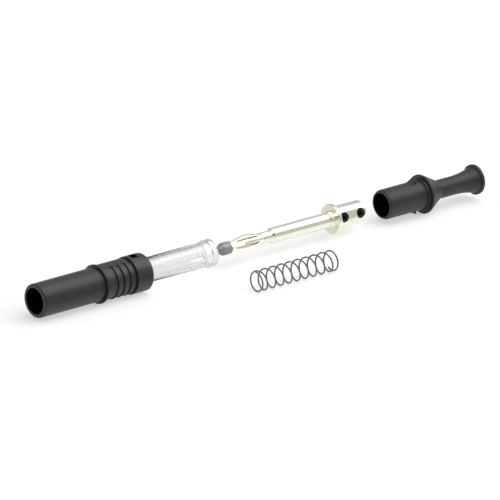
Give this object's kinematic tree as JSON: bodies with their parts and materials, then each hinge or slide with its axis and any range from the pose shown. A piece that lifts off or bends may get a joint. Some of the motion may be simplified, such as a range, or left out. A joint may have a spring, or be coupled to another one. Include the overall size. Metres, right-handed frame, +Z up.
{
  "type": "banana plug",
  "caption": "Spring-sleeve 4 mm banana plug, shown taken apart in a row: ribbed black housing, clear sliding sleeve, basket contact with terminal barrel and screws, coil spring and flared handle.",
  "frame": {"origin": "on the table, under the middle of the box round the laid-out row", "axes": "+X along the plug's axis from the housing's nose to the handle's cable end, +Z up, -Y towards the spring"},
  "size_m": [0.1432, 0.0266, 0.01],
  "materials": {
    "black_plastic": "fine moulded texture",
    "clear_plastic": "clear, polished",
    "tip_plastic": "smooth blue-grey plastic",
    "basket_metal": "bright plated spring metal",
    "nickel_brass": "turned and nickel plated",
    "screw_steel": "blackened steel",
    "spring_steel": "dark drawn wire"
  },
  "bodies": {
    "contact": {"contact_body": "nickel_brass", "contact_basket": "basket_metal", "insulating_tip": "tip_plastic", "return_spring": "spring_steel"},
    "sleeve": {"clear_sleeve": "clear_plastic"},
    "housing": {"front_housing": "black_plastic"},
    "handle": {"rear_handle": "black_plastic"},
    "front_screw": {"front_grub_screw": "screw_steel"},
    "rear_screw": {"rear_grub_screw": "screw_steel"}
  },
  "joints": [
    {"name": "sleeve_slide", "type": "slide", "parent": "contact", "child": "sleeve", "axis": [1, 0, 0], "range_m": [0, 0.02195]},
    {"name": "housing_slide", "type": "slide", "parent": "sleeve", "child": "housing", "axis": [1, 0, 0], "range_m": [0, 0.05265]},
    {"name": "handle_slide", "type": "slide", "parent": "contact", "child": "handle", "axis": [-1, 0, 0], "range_m": [0, 0.01585]},
    {"name": "front_screw_advance", "type": "slide", "parent": "contact", "child": "front_screw", "axis": [0, 0.9659, -0.2588], "range_m": [0, 0.0011]},
    {"name": "rear_screw_advance", "type": "slide", "parent": "contact", "child": "rear_screw", "axis": [0, 0.9659, -0.2588], "range_m": [0, 0.0011]}
  ]
}
